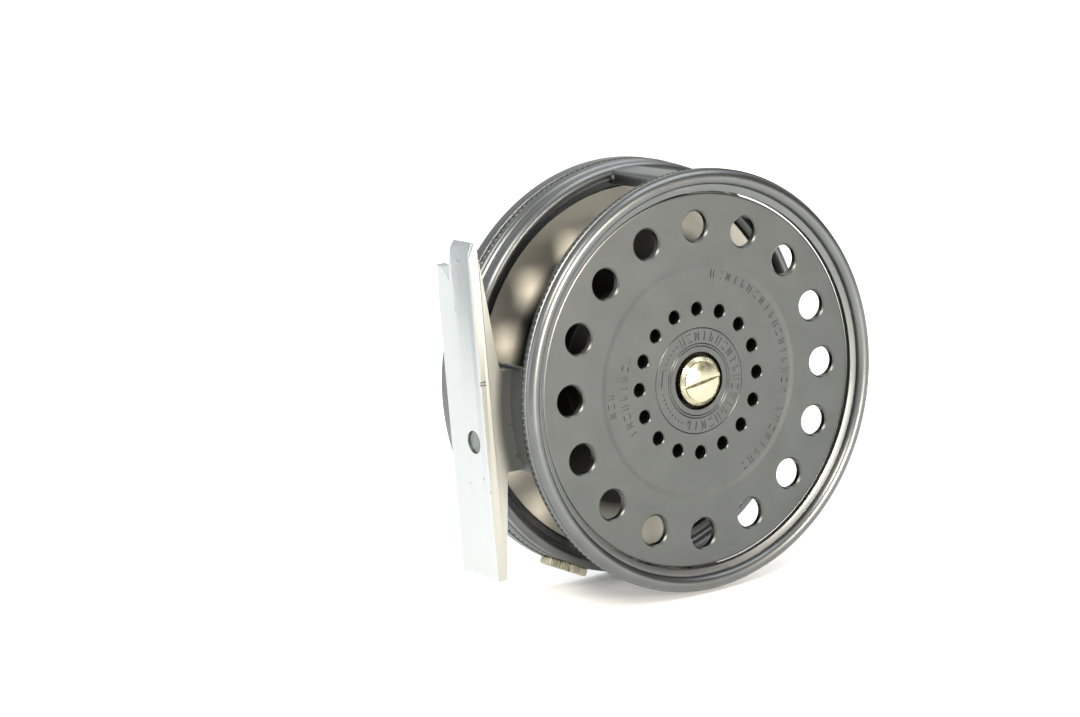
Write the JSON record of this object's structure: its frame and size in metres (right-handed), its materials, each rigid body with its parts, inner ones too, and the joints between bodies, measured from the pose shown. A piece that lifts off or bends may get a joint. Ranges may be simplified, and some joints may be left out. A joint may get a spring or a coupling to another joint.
{
  "type": "fly reel",
  "caption": "Narrow caged fly reel with a perforated take-down drum, ball-bearing winding plate with a crank handle, sprung click check with rim regulator, and a blade foot.",
  "frame": {"origin": "on the spindle's axis, at half the width of the frame", "axes": "+Y along the spindle from the perforated drum face to the winding handle, -X towards the reel foot, +Z along the foot's blade to its rounded end"},
  "size_m": [0.0833, 0.0512, 0.0794],
  "materials": {
    "grey_anodised": "satin dark grey anodised, turned",
    "grey_anodised_plate": "satin dark grey anodised, faced",
    "grey_anodised_drum": "satin dark grey anodised, fine circular turning marks",
    "bare_aluminium": "bare, brushed lengthwise, small dents",
    "rivet_alloy": "dull, hammered",
    "bearing_steel": "ground and polished",
    "bright_steel": "turned",
    "spring_steel": "blued",
    "bronze": "machined bronze",
    "nickel_silver": "polished",
    "nickel_silver_milled": "milled edge, dulled",
    "handle_resin": "polished ivory-coloured resin"
  },
  "bodies": {
    "frame": {"frame": "grey_anodised", "reel_foot": "bare_aluminium", "foot_rivets": "rivet_alloy", "bearing_cup": "bearing_steel", "pawl_post": "bright_steel", "check_spring": "spring_steel", "spring_post": "bright_steel"},
    "winding": {"winding_plate": "grey_anodised_plate", "spindle": "bright_steel", "bearing_cone": "bearing_steel", "drive_pins": "bright_steel", "check_wheel": "bronze", "check_wheel_screws": "nickel_silver", "handle_stud": "nickel_silver", "handle_washer": "nickel_silver"},
    "handle": {"handle_grip": "handle_resin", "handle_ferrule": "nickel_silver"},
    "drum": {"drum": "grey_anodised_drum", "drum_bush": "bronze"},
    "centre_screw": {"drum_screw": "nickel_silver", "screw_clip": "spring_steel"},
    "ball_cage": {"ball_retainer": "bronze", "bearing_balls": "bearing_steel"},
    "pawl": {"check_pawl": "bright_steel"},
    "shoe": {"regulator_shoe": "bronze"},
    "regulator": {"regulator_screw": "nickel_silver_milled"}
  },
  "joints": [
    {"name": "drum_spin", "type": "hinge", "parent": "frame", "child": "winding", "pos_m": [0, 0, 0], "axis": [0, 1, 0], "continuous": true},
    {"name": "handle_spin", "type": "hinge", "parent": "winding", "child": "handle", "pos_m": [0.02158, 0, -0.01686], "axis": [0, 1, 0], "continuous": true},
    {"name": "drum_slide", "type": "slide", "parent": "winding", "child": "drum", "axis": [0, -1, 0], "range_m": [0, 0.027]},
    {"name": "centre_screw_turn", "type": "hinge", "parent": "drum", "child": "centre_screw", "pos_m": [0, -0.0123, 0], "axis": [0, 1, 0], "continuous": true},
    {"name": "ball_roll", "type": "hinge", "parent": "frame", "child": "ball_cage", "pos_m": [0, 0.01155, 0], "axis": [0, 1, 0], "continuous": true},
    {"name": "pawl_swing", "type": "hinge", "parent": "frame", "child": "pawl", "pos_m": [-0.01458, 0, -0.0146], "axis": [0, -1, 0], "range_deg": [0, 6.6], "stiffness_Nm_per_rad": 0.002},
    {"name": "regulator_feed", "type": "slide", "parent": "frame", "child": "shoe", "axis": [0.4478, 0, 0.8942], "range_m": [-0.0008, 0.0002]},
    {"name": "regulator_turn", "type": "hinge", "parent": "shoe", "child": "regulator", "pos_m": [-0.01777, 0.0115, -0.03549], "axis": [0.4478, 0, 0.8942], "range_deg": [-720, 180]}
  ],
  "couplings": [
    {"joint": "ball_roll", "follows": "drum_spin", "ratio": 0.5},
    {"joint": "regulator_turn", "follows": "regulator_feed", "rad_per_m": 15708}
  ]
}
